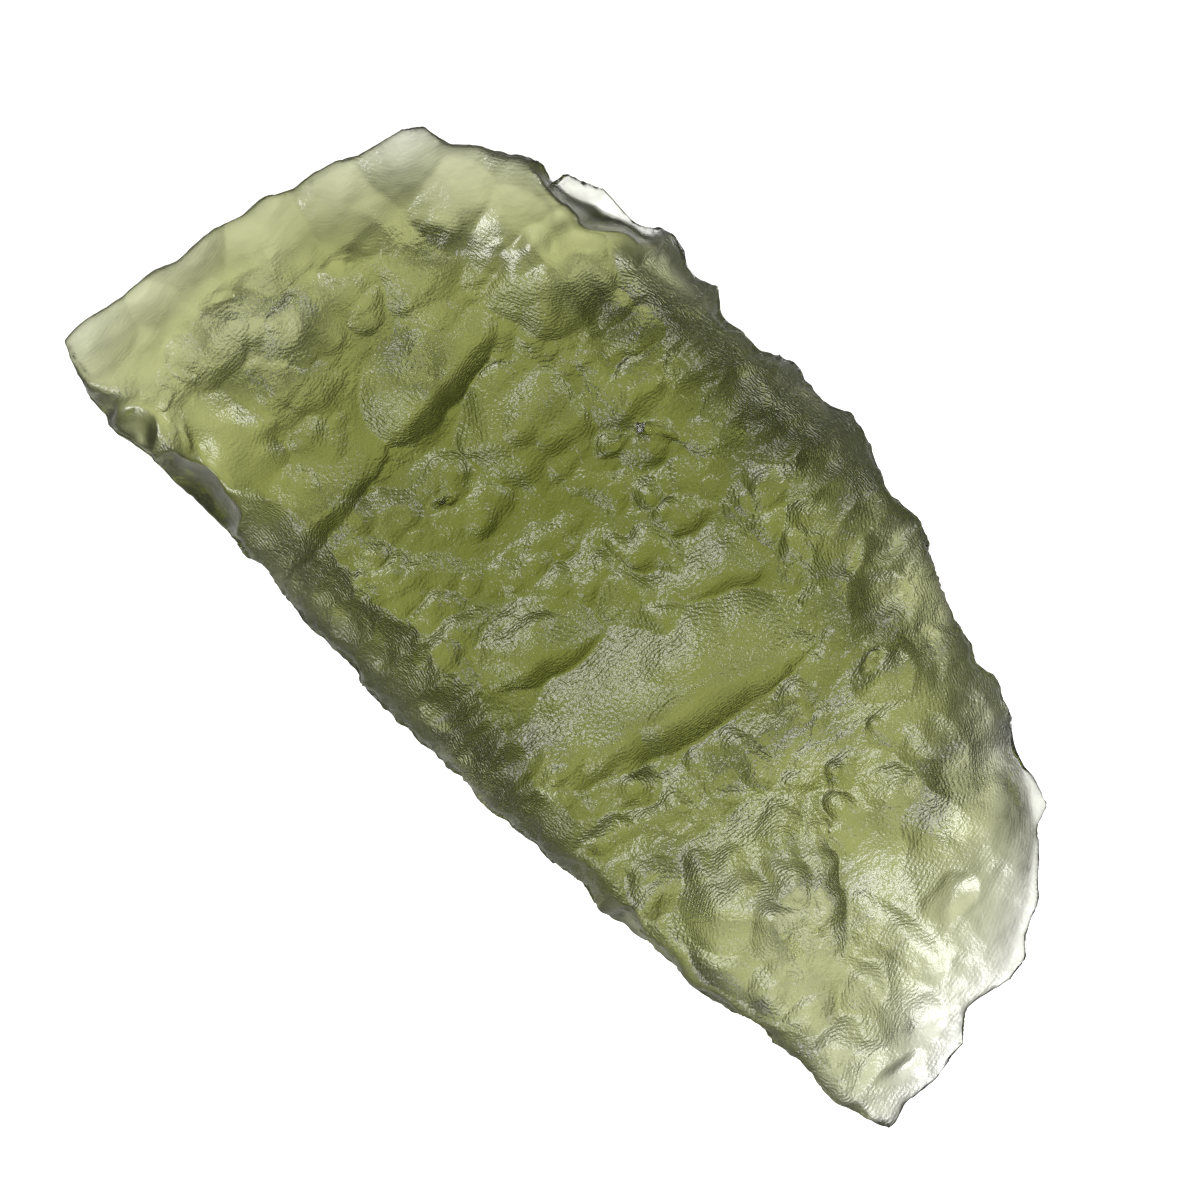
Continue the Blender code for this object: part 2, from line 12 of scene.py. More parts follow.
import bmesh
import bpy
import numpy as np
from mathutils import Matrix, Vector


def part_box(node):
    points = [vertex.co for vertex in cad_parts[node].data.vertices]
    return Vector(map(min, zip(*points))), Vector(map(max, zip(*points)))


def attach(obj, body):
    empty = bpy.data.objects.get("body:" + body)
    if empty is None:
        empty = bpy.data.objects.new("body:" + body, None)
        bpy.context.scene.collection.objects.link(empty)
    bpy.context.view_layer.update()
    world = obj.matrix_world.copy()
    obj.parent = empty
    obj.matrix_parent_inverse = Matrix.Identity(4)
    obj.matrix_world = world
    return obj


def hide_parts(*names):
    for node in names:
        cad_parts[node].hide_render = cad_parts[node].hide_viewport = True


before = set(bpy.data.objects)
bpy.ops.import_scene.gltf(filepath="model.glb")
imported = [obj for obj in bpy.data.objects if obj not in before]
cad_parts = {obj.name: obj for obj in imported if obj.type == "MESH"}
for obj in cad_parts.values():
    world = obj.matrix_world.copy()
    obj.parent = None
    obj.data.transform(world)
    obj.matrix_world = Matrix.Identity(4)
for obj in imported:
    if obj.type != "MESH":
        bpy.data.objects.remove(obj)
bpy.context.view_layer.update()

bl_info = {
    "name": "Moldavite",
    "version": (1, 0, 0),
    "blender": (4, 5, 0),
    "location": "3D View > Sidebar > Moldavite",
    "description": "Models a rough, etched lump of green natural glass and its stage",
    "category": "Object",
}

MM = 0.001

# The stone's outline seen from above, clockwise from the lower left corner.
OUTLINE = [
    (-18.3, -9.1), (-19.5, -8.8), (-20.1, -8.5), (-20.1, -7.6), (-19.8, -6.0),
    (-19.65, -4.5), (-19.35, -3.7), (-19.3, -2.1), (-18.9, -1.0), (-18.8, 0.1),
    (-18.3, 0.9), (-18.05, 2.6), (-17.6, 3.4), (-17.2, 5.1), (-16.7, 5.75),
    (-15.7, 6.0), (-14.3, 7.05), (-12.9, 7.8), (-12.1, 7.6), (-12.1, 8.1),
    (-10.8, 8.7), (-9.1, 8.7), (-8.3, 9.2), (-7.2, 9.35), (-6.2, 9.1),
    (-5.6, 9.3), (-4.4, 8.9), (-3.1, 8.95), (-2.4, 9.35), (-1.0, 9.3),
    (0.8, 9.45), (2.1, 9.2), (3.4, 8.85), (4.8, 8.6), (6.3, 8.4),
    (7.3, 7.7), (8.6, 7.0), (9.7, 7.0), (10.2, 6.65), (11.3, 6.75),
    (13.0, 6.0), (14.0, 5.4), (15.6, 4.95), (15.9, 4.1), (16.9, 3.45),
    (18.0, 2.2), (18.45, 1.2), (19.0, 0.7), (19.15, -0.2), (18.8, -2.1),
    (19.6, -2.95), (19.8, -4.5), (19.65, -5.9), (20.05, -6.9), (19.2, -7.15),
    (18.0, -7.55), (15.8, -7.4), (14.6, -7.75), (13.3, -8.0), (11.0, -8.2),
    (8.7, -8.5), (4.9, -8.8), (2.0, -9.1), (-1.4, -9.3), (-5.2, -9.35),
    (-6.6, -9.35), (-8.0, -9.05), (-11.0, -9.15), (-14.8, -9.1), (-16.3, -9.35),
    (-17.6, -9.3),
]

# The low dome of the top: its height, its middle, and its fall per square mm along and across.
HEIGHT = 8.2
DOME_MIDDLE = (-3.0, -0.5)
DOME_FALL = (0.008, 0.010)

# Broad faces of the top: a point on the face, its height there, the way it falls, the fall per mm.
TOP_FACES = [
    (-12.5, -2.0, 6.5, 183, 0.44),
    (-9.5, 3.5, 6.7, 142, 0.42),
    (0.0, 7.2, 7.0, 92, 1.55),
    (7.0, 5.2, 6.1, 63, 0.85),
    (6.0, 0.0, 7.4, 2, 0.33),
    (4.0, -8.2, 7.2, 271, 3.20),
    (-14.0, -8.0, 5.6, 268, 1.60),
]

# How wide the ridges between the faces are rounded, on the top and on the underside.
TOP_RIDGE = 0.7
UNDER_RIDGE = 0.3

# Broad faces of the underside, told in the same way, rising instead of falling.
UNDER_FACES = [
    (-11.0, 0.0, 0.0, 180, 0.09),
    (-9.0, 5.5, 0.2, 135, 0.20),
    (0.0, 5.6, 0.1, 90, 0.50),
    (8.0, 3.5, 0.1, 60, 0.26),
    (9.0, 0.0, 0.0, 0, 0.09),
    (2.0, -6.8, 0.0, 270, 0.42),
    (12.0, -6.0, 0.2, 290, 0.20),
]

# A gentle unevenness of the top and the underside: height, shortest and longest wave, seed. Each one
# is a sum of a few sine waves. Then how far the underside is lifted off the table around the patch.
TOP_WAVES = (0.10, 5.0, 11.0, 3)
UNDER_WAVES = (0.10, 4.0, 9.0, 5)
WAVE_COUNT = 14
UNDER_LIFT = 0.25

# How straight the walls of a hollow are: a round bowl, a funnel, a flat floor, or a sharp edge.
BOWL = 1.0
FUNNEL = 0.8
FLAT_FLOOR = 2.0
SHARP_EDGE = 3.0

# How far places are shifted before the troughs and the hollows are cut, so that no edge is round.
TROUGH_WARP = (0.07, 1.0, 3.2, 61)
HOLLOW_WARP = (0.18, 1.0, 3.2, 61)

# Hollows of the top: centre x, y, half length, half width, turn in degrees, depth.
TOP_HOLLOWS = [
    (-6.7, 0.9, 2.4, 2.1, 10, 1.05),
    (0.5, -0.4, 1.6, 0.95, 25, 0.55),
    (-0.7, 2.6, 1.3, 0.85, 58, 0.50),
    (-0.6, 1.1, 1.3, 0.70, 30, 0.45),
    # The left part, and the groove that runs out through the lower edge.
    (-9.6, 5.2, 2.2, 2.0, 80, 0.90),
    (-12.6, 1.8, 1.6, 1.4, 0, 0.55),
    (-13.2, -6.6, 2.3, 1.3, 5, 0.65),
    (-14.5, -1.9, 2.0, 1.3, 88, 0.65),
    (-11.3, -4.5, 1.1, 0.8, 80, 0.35),
    (-13.2, -3.6, 1.7, 1.0, 30, 0.35),
    (-16.2, -5.3, 1.5, 1.2, 45, 0.30),
    (-16.2, -3.5, 1.4, 1.0, 60, 0.25),
    (-13.4, -0.4, 1.0, 0.7, 60, 0.25),
]

# Long hollows that lean: the left wall is long and gentle, the right one short and steep.
TOP_TROUGHS = [
    (-10.6, -0.2, 3.0, 1.75, 95, 1.45),
    (2.9, -1.7, 5.6, 2.45, 75, 1.80),
    (-1.0, -3.8, 2.4, 1.45, 70, 1.05),
    (1.3, 2.1, 2.0, 1.2, 68, 0.65),
    (-10.0, -6.0, 3.3, 1.4, 95, 0.80),
    (11.2, -5.2, 4.2, 3.2, 145, 1.25),
]
TROUGH_LEAN = -0.45

# Smaller pits of the top, told in the same way. Their walls are straighter.
TOP_PITS = [
    # The etched middle below: round pits, and narrow grooves down to the lower edge.
    (-5.6, -2.2, 1.4, 1.15, 80, 0.65),
    (-3.2, -1.4, 1.5, 0.85, 85, 0.50),
    (-3.2, -3.0, 1.0, 0.9, 60, 0.45),
    (-1.5, -1.6, 1.2, 0.9, 80, 0.50),
    (-1.4, -0.7, 0.9, 0.6, 10, 0.35),
    (-8.5, -5.5, 1.0, 0.9, 60, 0.55),
    (-7.6, -4.3, 1.1, 0.8, 60, 0.45),
    (-7.5, -2.4, 1.2, 0.8, 85, 0.40),
    (-7.4, -6.0, 1.1, 0.75, 65, 0.55),
    (-6.3, -5.9, 1.2, 0.7, 70, 0.50),
    (-5.4, -5.5, 2.2, 0.8, 63, 0.65),
    (-4.3, -4.0, 0.8, 0.7, 30, 0.35),
    (-4.2, -5.5, 1.1, 0.65, 75, 0.50),
    (-3.0, -6.2, 2.0, 0.8, 85, 0.60),
    (-3.3, -7.2, 1.0, 0.7, 120, 0.55),
    (-5.9, -8.0, 1.0, 0.8, 0, 0.60),
    (-7.2, -7.6, 1.0, 0.7, 75, 0.45),
    (-4.5, -7.7, 1.2, 0.6, 85, 0.50),
    (-1.5, -7.5, 1.4, 0.7, 80, 0.60),
    (-1.9, -5.0, 1.0, 0.8, 60, 0.40),
    (0.2, -7.6, 1.3, 0.6, 88, 0.50),
    (1.6, -7.5, 1.4, 0.7, 95, 0.60),
    (3.5, -7.2, 1.6, 0.9, 100, 0.60),
    (4.8, -5.0, 1.0, 0.7, 80, 0.55),
    (5.6, -6.7, 1.2, 0.6, 65, 0.50),
    # The etched middle above, up to the fluted edge.
    (-4.9, 4.5, 1.9, 0.85, 88, 0.70),
    (-6.3, 6.0, 1.5, 0.8, 85, 0.50),
    (-7.4, 6.0, 0.9, 0.6, 80, 0.35),
    (-6.8, 3.9, 0.9, 0.6, 60, 0.30),
    (-3.1, 3.6, 0.9, 0.75, 80, 0.50),
    (-3.9, 2.7, 0.8, 0.5, 70, 0.40),
    (-2.2, 2.2, 0.75, 0.6, 0, 0.40),
    (-3.0, 1.4, 0.9, 0.6, 20, 0.35),
    (-4.2, 6.4, 1.4, 0.9, 80, 0.60),
    (-1.9, 5.4, 1.0, 0.8, 60, 0.45),
    (-2.1, 6.9, 1.4, 0.85, 80, 0.60),
    (-1.2, 3.8, 0.9, 0.7, 40, 0.35),
    (0.6, 5.4, 0.9, 0.7, 80, 0.45),
    (0.4, 4.4, 0.7, 0.6, 20, 0.35),
    (1.4, 4.6, 0.8, 0.75, 70, 0.40),
    (2.6, 6.2, 1.3, 0.8, 80, 0.50),
    (4.1, 5.7, 1.1, 0.9, 85, 0.50),
    (3.0, 4.6, 0.8, 0.7, 60, 0.30),
    (6.3, 5.6, 1.2, 0.8, 80, 0.45),
    (6.1, 2.7, 1.1, 0.9, 60, 0.40),
    (6.8, 1.1, 0.9, 0.75, 0, 0.35),
    (4.9, 7.3, 1.2, 0.6, 85, 0.40),
    (1.4, 7.4, 1.3, 0.6, 85, 0.45),
    (0.0, 7.0, 1.3, 0.6, 82, 0.45),
    # Right of the long trough: shallow pits drawn out along the stone.
    (6.9, -1.5, 1.4, 0.7, 5, 0.40),
    (6.7, -2.8, 1.5, 0.6, 5, 0.40),
    (7.2, -3.6, 1.0, 0.5, 0, 0.30),
    (6.7, -4.4, 0.8, 0.6, 60, 0.35),
    (6.2, -5.2, 0.8, 0.6, 60, 0.35),
    (8.7, -1.0, 0.9, 0.6, 30, 0.30),
    (9.7, 0.4, 0.7, 0.6, 0, 0.35),
    (10.6, -0.4, 0.75, 0.6, 140, 0.35),
    (11.2, -1.1, 0.8, 0.5, 145, 0.35),
    # The ringed pits of the sunk lower right corner, and those beside it.
    (9.2, -5.1, 1.3, 1.15, 70, 0.60),
    (10.2, -5.6, 1.8, 1.5, 0, 1.00),
    (12.0, -4.9, 1.9, 1.2, 168, 1.00),
    (11.2, -3.3, 1.2, 0.9, 160, 0.70),
    (11.7, -2.35, 2.7, 0.65, 145, 0.80),
    (10.2, -2.6, 0.9, 0.7, 0, 0.35),
    (8.0, -7.0, 1.3, 1.2, 60, 0.85),
    (13.4, -6.4, 1.1, 0.8, 30, 0.40),
    (11.6, -7.2, 1.6, 0.6, 0, 0.40),
    (15.4, -4.1, 1.35, 1.0, 170, 0.60),
    (16.6, -5.9, 0.9, 0.85, 80, 0.45),
    (15.1, -6.0, 0.9, 0.7, 60, 0.40),
    (18.8, -5.1, 1.1, 0.45, 80, 0.35),
    # The upper right.
    (8.3, 3.9, 1.2, 1.0, 80, 0.70),
    (8.6, 5.6, 0.9, 0.8, 0, 0.40),
    (11.5, 3.3, 1.5, 1.2, 10, 0.65),
    (11.1, 5.2, 1.0, 0.85, 60, 0.45),
    (11.4, 1.6, 0.95, 0.75, 60, 0.35),
    (12.9, 1.2, 0.9, 0.7, 0, 0.25),
    (9.7, 2.6, 0.9, 0.7, 60, 0.30),
    (15.5, 0.3, 1.0, 0.8, 60, 0.35),
    (15.3, -1.9, 2.1, 0.9, 5, 0.40),
]

# Scallops that the break left on the pale end and along the upper left edge.
TOP_SCALLOPS = [
    (-20.2, -7.6, 2.2, 2.1, 0, 0.60),
    (-19.6, -3.3, 2.0, 1.8, 80, 0.55),
    (-18.9, -5.2, 1.3, 1.0, 60, 0.30),
    (-17.4, -0.8, 2.1, 1.8, 20, 0.50),
    (-16.5, 1.6, 2.0, 1.8, 30, 0.55),
    (-16.3, 4.1, 1.7, 1.5, 70, 0.50),
    (-14.0, 4.6, 1.8, 1.6, 10, 0.45),
    (-12.0, 5.2, 1.7, 1.6, 10, 0.45),
    (-15.9, -8.7, 0.9, 0.8, 0, 0.35),
    (-14.9, -8.0, 1.0, 0.8, 120, 0.30),
    (19.6, -6.4, 1.2, 2.0, 20, 0.25),
    (17.6, -3.6, 1.2, 1.1, 40, 0.30),
]

# Where the stone drops to a thin clear edge: a point on the brink, the way down, the fall per mm and
# how far it falls.
TOP_RAMPS = [
    (12.6, 1.4, 30, 0.36, 2.3),
    (-10.0, 3.6, 118, 0.22, 1.5),
]

# Where chips broke off the lower and the upper left edge and left a thin floor: told like the hollows.
TOP_SHELVES = [
    (-12.7, -9.3, 1.9, 1.4, 0, 2.20),
    (-10.6, 8.3, 2.6, 1.0, 15, 2.00),
]

# Hollows of the underside.
UNDER_HOLLOWS = [
    (-15.0, -3.5, 3.2, 2.2, 70, 0.90),
    (-14.0, 3.6, 2.4, 1.9, 20, 0.80),
    (-8.6, -6.2, 2.4, 1.5, 80, 0.85),
    (-7.4, 6.0, 2.6, 1.5, 15, 0.80),
    (-0.5, 6.6, 2.2, 1.4, 80, 0.70),
    (1.0, -7.2, 2.6, 1.3, 10, 0.75),
    (6.6, 5.0, 2.3, 1.5, 30, 0.75),
    (7.9, -0.6, 3.0, 1.8, 80, 0.90),
    (8.2, -6.0, 2.0, 1.4, 20, 0.70),
    (12.4, -3.2, 2.3, 1.7, 60, 0.65),
    (12.6, 2.9, 2.2, 1.5, 140, 0.55),
    (-11.0, -0.6, 1.8, 1.4, 10, 0.70),
]

# The flat patch that the stone rests on: its middle and its half length and half width.
REST_MIDDLE = (-1.5, -0.8)
REST_HALF = (5.0, 3.2)

# Pits in the wall, and shallow upright flutes between them. The dents fade out inside the wall's
# reach, and the mean dent is given back, so that the outline stays in its place.
WALL_PITS = 60
WALL_PIT_HEIGHT = (0.5, 6.0)
WALL_PIT_WIDTH = (0.8, 1.5)
WALL_PIT_RISE = (1.0, 2.2)
WALL_PIT_DEPTH = (0.15, 0.38)
WALL_PIT_LEAN = 15.0
WALL_SEED = 17
FLUTE_DEPTH = 0.07
FLUTE_WAVES = (1.0, 1.5, 3.5, 7)
FLUTE_SLANT = 0.25
WALL_REACH = 1.6
MEAN_DENT = 0.17

# Where the wall bulges most between the top and the underside, as a share, and how wide and how far
# each is rounded down to the wall, on a late break and on the etched skin.
BULGE = 0.45
RIM_WIDTH = {"fresh": (0.20, 0.25), "etched": (0.90, 1.10)}
RIM_START = {"fresh": (0.80, 0.75), "etched": (0.45, 0.40)}

# Small pits spread over both sides: how many, the range of their radius, depth and stretch, the middle
# and the spread of their turn in degrees, and how far from the middle they lie.
SMALL_PITS = 150
SMALL_PIT_RADIUS = (0.7, 1.3)
SMALL_PIT_DEPTH = (0.14, 0.32)
SMALL_PIT_STRETCH = (1.0, 1.7)
SMALL_PIT_TURN = (82.0, 28.0)
SMALL_PIT_PLACE = (19.0, 9.0)
TOP_SEED = 11
UNDER_SEED = 23

# The least that the stone is thick, and how much of the underside's relief and of the wall's dents is
# left on a late break.
THINNEST = 0.55
FRESH_RELIEF = 0.15
FRESH_DENT = 0.30

# How deep the small pits of the top are beside the table's figures, and how straight their walls.
PIT_SHARE = 0.75
PIT_STEEPNESS = 0.75

# Where the glass broke late and was hardly etched: told like the hollows, with how fresh it is last.
FRESH_PARTS = [
    (-19.4, -6.6, 2.6, 3.6, 0, 1.0),
    (-18.8, -2.6, 2.3, 2.8, 0, 1.0),
    (-17.2, 0.9, 2.9, 2.6, 20, 1.0),
    (-15.6, 4.3, 3.2, 2.6, 30, 1.0),
    (-12.2, 5.8, 3.2, 2.4, 30, 0.9),
    (-10.2, 7.9, 2.4, 1.8, 12, 1.0),
    (-12.9, -8.9, 2.1, 1.7, 0, 1.0),
    (-16.0, -8.6, 1.2, 1.0, 0, 1.0),
    (18.2, 1.8, 4.6, 7.4, 24, 1.0),
    (18.9, -5.2, 1.3, 2.2, 10, 0.8),
    (-13.4, -6.4, 2.4, 1.6, 8, 0.5),
    (13.6, -0.6, 2.4, 1.8, 30, 0.5),
]

# Pits packed side by side all over the skin: how far apart across, along and down, depth, seed.
PACKED_PITS = [
    ((1.1, 1.5, 1.8), 0.17, 31),
    ((0.55, 0.75, 1.1), 0.13, 32),
    ((0.26, 0.50, 0.8), 0.07, 33),
]

# The range of a packed pit's radius in cells, and of its depth as a share.
PACKED_RADIUS = (0.6, 1.1)
PACKED_SHARE = (0.3, 1.0)

# How many cells lie along each side before the packed pits repeat, and the cell at the origin.
PACKED_CELLS = 40
PACKED_START = 400.0

# How far places are shifted before the packed pits are pressed in: height, shortest and longest wave,
# seed.
SKIN_WARP = (0.05, 0.4, 1.6, 63)

# How strongly the packed pits are pressed in on a late break, how much more on its wall and on an
# etched wall, and the share that is left on the underside.
FRESH_PITTED = 0.35
FRESH_WALL_PITTED = 0.60
WALL_PITTED = 1.3
UNDER_PITTED = 0.5

# A face counts as the top, not as wall, from this much upward tilt of its normal.
TOP_TILT = 0.5
# The flat patch's own skin lies below this height.
REST_SKIN = 1.0
# The share of the slab's height that is left between its two faces once it is meshed evenly.
FACE_GAP = 0.98
# The underside is where the normal points down more than this; it's thinned out this many times more.
UNDERSIDE_TILT = -0.2
UNDERSIDE_THINNING = 10.0

# Where the skin is smooth between its grains, in the large hollows and on the right: the same way.
SMOOTH_PARTS = [
    (-10.6, -0.3, 3.0, 1.8, 95, 1.0),
    (2.9, -1.8, 5.5, 2.8, 79, 1.0),
    (-6.5, 0.9, 2.4, 2.1, 10, 1.0),
    (-9.4, 5.2, 2.3, 2.1, 80, 1.0),
    (-13.3, -6.6, 2.4, 1.3, 5, 1.0),
    (-10.0, -6.0, 3.4, 1.3, 95, 0.8),
    (-14.5, -1.8, 1.9, 1.1, 88, 0.9),
    (1.3, 2.2, 1.8, 1.1, 68, 0.8),
    (0.5, -0.4, 1.6, 1.0, 25, 0.9),
    (-0.3, -3.6, 2.6, 1.0, 62, 0.8),
    (14.6, 0.2, 3.6, 3.0, 60, 0.9),
    (11.0, -5.2, 4.0, 3.2, 145, 1.0),
    (15.6, -4.6, 2.6, 2.4, 0, 0.9),
    (11.6, 3.6, 2.2, 2.0, 10, 0.8),
    (8.2, 3.9, 1.5, 1.3, 80, 0.8),
]

# The grains of the etched skin and the flow layers of the glass, in mm: how far apart, how high.
GRAIN_SIZE = 0.13
GRAIN_RISE = 0.055
LAYER_STEP = 0.10
LAYER_RISE = 0.007
# A wave texture repeats every tau / 20 of its scale.
WAVE_REPEAT = math.tau / 20.0

# Small things that show one by one: told like the hollows.
SMALL_MARKS = [
    # The black hole left of the middle, and the crack above it.
    (-6.7, -2.8, 0.55, 0.28, 75, 0.75),
    (-3.65, 3.85, 0.42, 0.30, 20, 0.60),
    (-3.95, 2.9, 0.75, 0.16, 80, 0.35),
    (-2.9, 4.35, 0.80, 0.14, 25, 0.25),
    # The bubble cut open on the right, and the rings around it.
    (7.6, 4.0, 0.62, 0.20, 95, 0.40),
    (9.5, 0.4, 0.35, 0.30, 0, 0.18),
    (10.3, -0.3, 0.55, 0.50, 0, 0.22),
    (10.8, -1.2, 0.40, 0.30, 0, 0.18),
    (9.3, 2.5, 0.30, 0.25, 0, 0.18),
    # The curled crack at the lower left.
    (-16.2, -6.3, 0.60, 0.15, 20, 0.22),
    (-16.4, -6.9, 0.50, 0.13, 5, 0.22),
    (-16.0, -7.3, 0.45, 0.14, 120, 0.22),
    (-14.8, -7.6, 0.90, 0.14, 150, 0.20),
    (-12.8, -3.6, 0.14, 0.12, 0, 0.15),
]

# The stage, in mm: the lit table and the dome around it, then the place and size of each light.
TABLE_HALF = 900.0
TABLE_DROP = 0.05
DOME_RADIUS = 850.0
STONE_MIDDLE = (0.0, 0.0, 3.0)
KEY_PLACE = (300.0, -40.0, 190.0)
KEY_SIZE = 200.0
FILL_PLACES = {"fill_below": (-60.0, -300.0, 130.0), "fill_above": (-60.0, 300.0, 130.0)}
FILL_SIZE = 120.0
PANEL_PLACE = (0.0, 0.0, -20.0)
PANEL_SIZE = 500.0

# The camera looks straight down: its place above the stone and the outline's height in mm, its turn
# in degrees, its sensor's width in camera mm, and the nearest and farthest that it sees, in mm.
CAMERA_MIDDLE = (-0.385, -1.37)
OUTLINE_LEVEL = 2.5
CAMERA_TURN = 46.0
SENSOR_WIDTH = 36.0
CAMERA_NEAR = 10.0
CAMERA_FAR = 10000.0


def linear(hex_colour):
    """An sRGB hex colour as linear red, green, blue and a full alpha."""
    levels = [int(hex_colour[i:i + 2], 16) / 255.0 for i in (0, 2, 4)]
    even = [c / 12.92 if c <= 0.04045 else ((c + 0.055) / 1.055) ** 2.4 for c in levels]
    return (*even, 1.0)


def add_node(tree, kind, settings=None, inputs=None, links=None):
    """A node with its settings, its input values, and its links as input name: output socket."""
    node = tree.nodes.new(kind)
    for name, value in (settings or {}).items():
        setattr(node, name, value)
    for name, value in (inputs or {}).items():
        node.inputs[name].default_value = value
    for name, socket in (links or {}).items():
        tree.links.new(socket, node.inputs[name])
    return node


def empty_material(name):
    """A material with no nodes, and its tree."""
    material = bpy.data.materials.new(name)
    material.use_nodes = True
    material.node_tree.nodes.clear()
    return material, material.node_tree


def per_mm(size):
    """A texture scale, for object coordinates in metres, whose cells are the given mm across."""
    return 1.0 / (size * MM)


def etched_glass(settings):
    """Natural impact glass, melted and etched by soil acids.

    The eye gets a deep bottle green that grows with thickness, a frosted skin with fine grains that
    glitter on the walls that face the light, and smooth, wet looking faces where it broke late.
    """
    material, tree = empty_material("moldavite_glass_etched")
    place = add_node(tree, "ShaderNodeTexCoord").outputs["Object"]
    etched = add_node(tree, "ShaderNodeAttribute", {"attribute_name": "etched"}).outputs["Fac"]

    # Grains of the etched skin. Real ones are finer than 0.1 mm; they are drawn coarser, to show.
    grains = add_node(
        tree, "ShaderNodeTexNoise", {"noise_dimensions": "3D"},
        {"Scale": per_mm(GRAIN_SIZE), "Detail": 1.0, "Roughness": 0.7}, {"Vector": place},
    ).outputs["Fac"]
    # Flow layers of the melt, about 0.1 mm apart, which show as rings in pits and lines on walls.
    layers = add_node(
        tree, "ShaderNodeTexWave", {"wave_type": "BANDS", "bands_direction": "Z"},
        {"Scale": per_mm(LAYER_STEP) * WAVE_REPEAT, "Distortion": 6.0, "Detail": 1.0,
         "Detail Scale": 0.02}, {"Vector": place},
    ).outputs["Fac"]

    rough_share = add_node(
        tree, "ShaderNodeMapRange", None, {"To Min": 0.2, "To Max": 1.0}, {"Value": etched},
    ).outputs["Result"]
    grained = add_node(
        tree, "ShaderNodeBump", None, {"Distance": GRAIN_RISE * MM},
        {"Height": grains, "Strength": rough_share},
    ).outputs["Normal"]
    lined = add_node(
        tree, "ShaderNodeBump", None, {"Distance": LAYER_RISE * MM},
        {"Height": layers, "Strength": rough_share, "Normal": grained},
    ).outputs["Normal"]
    roughness = add_node(
        tree, "ShaderNodeMapRange", None,
        {"To Min": settings.fresh_roughness, "To Max": settings.skin_roughness}, {"Value": etched},
    ).outputs["Result"]
    skin = add_node(
        tree, "ShaderNodeBsdfPrincipled", None,
        {"Base Color": linear("FFFFFF"), "Metallic": 0.0, "IOR": 1.49, "Transmission Weight": 1.0},
        {"Roughness": roughness, "Normal": lined},
    ).outputs["BSDF"]
    depth = add_node(
        tree, "ShaderNodeVolumeAbsorption", None,
        {"Color": (*settings.deep_colour, 1.0), "Density": settings.deep_density},
    ).outputs["Volume"]
    add_node(tree, "ShaderNodeOutputMaterial", None, None, {"Surface": skin, "Volume": depth})
    return material


def lit_acrylic(settings):
    """Opal acrylic of a light table and its surround: an even white glow."""
    material, tree = empty_material("opal_acrylic_lit")
    skin = add_node(
        tree, "ShaderNodeBsdfPrincipled", None,
        {"Base Color": (*settings.floor_colour, 1.0), "Roughness": 0.8,
         "Emission Color": (*settings.floor_colour, 1.0),
         "Emission Strength": settings.floor_glow},
    ).outputs["BSDF"]
    add_node(tree, "ShaderNodeOutputMaterial", None, None, {"Surface": skin})
    return material


def read_points(mesh):
    """The mesh's points as rows of x, y and z, in metres."""
    flat = np.empty(3 * len(mesh.vertices))
    mesh.vertices.foreach_get("co", flat)
    return flat.reshape(-1, 3)


def write_points(mesh, points):
    """Move the mesh's points to the given rows of x, y and z, in metres."""
    mesh.vertices.foreach_set("co", points.ravel())
    mesh.update()


def rim_frame(x, y):
    """Where each point lies by the outline: how far inside it, how far along it, and the way inward."""
    nearest = np.full(x.shape, 1e9)
    place = np.zeros(x.shape)
    inward_x = np.zeros(x.shape)
    inward_y = np.zeros(x.shape)
    passed = 0.0
    for (ax, ay), (bx, by) in zip(OUTLINE, OUTLINE[1:] + OUTLINE[:1]):
        length = math.hypot(bx - ax, by - ay)
        along = ((x - ax) * (bx - ax) + (y - ay) * (by - ay)) / length ** 2
        along = np.clip(along, 0.0, 1.0)
        gap = np.hypot(x - ax - along * (bx - ax), y - ay - along * (by - ay))
        closer = gap < nearest
        nearest = np.where(closer, gap, nearest)
        place = np.where(closer, passed + along * length, place)
        inward_x = np.where(closer, (by - ay) / length, inward_x)
        inward_y = np.where(closer, (ax - bx) / length, inward_y)
        passed += length
    return nearest, place, inward_x, inward_y


def soft_min(a, b, blend):
    """The lower of two heights, with the ridge between them rounded over the blend."""
    mix = np.clip(0.5 + 0.5 * (b - a) / blend, 0.0, 1.0)
    return b + (a - b) * mix - blend * mix * (1.0 - mix)


def face_height(x, y, face, sign):
    """The height of one broad face, falling (sign -1) or rising (sign 1) away from its point."""
    px, py, height, turn, slope = face
    way = math.radians(turn)
    out = (x - px) * math.cos(way) + (y - py) * math.sin(way)
    return height + sign * slope * out


def hollow_depth(x, y, hollows, steepness, lean=0.0):
    """How deep the hollows cut at each point. Where two meet, the deeper one wins, with a crisp edge.

    The lean says where the deepest line lies across each one, from -1 at one edge to 1 at the other.
    """
    depth = np.zeros(x.shape)
    for px, py, half_length, half_width, turn, deepest in hollows:
        way = math.radians(turn)
        u = ((x - px) * math.cos(way) + (y - py) * math.sin(way)) / half_length
        v = ((y - py) * math.cos(way) - (x - px) * math.sin(way)) / half_width
        v = (v - lean) / np.where(v > lean, 1.0 - lean, 1.0 + lean)
        reach = np.clip(1.0 - (u * u + v * v) ** steepness, 0.0, None)
        depth = np.maximum(depth, deepest * reach)
    return depth


def ramp_depth(x, y, ramps):
    """How far the ramps have fallen at each point."""
    depth = np.zeros(x.shape)
    for px, py, turn, slope, deepest in ramps:
        out = -face_height(x, y, (px, py, 0.0, turn, slope), -1.0)
        depth += np.clip(out, 0.0, deepest)
    return depth


def etched_share(x, y):
    """How etched the skin is at each point, from 0 on a late break to 1."""
    return 1.0 - hollow_depth(x, y, FRESH_PARTS, SHARP_EDGE)


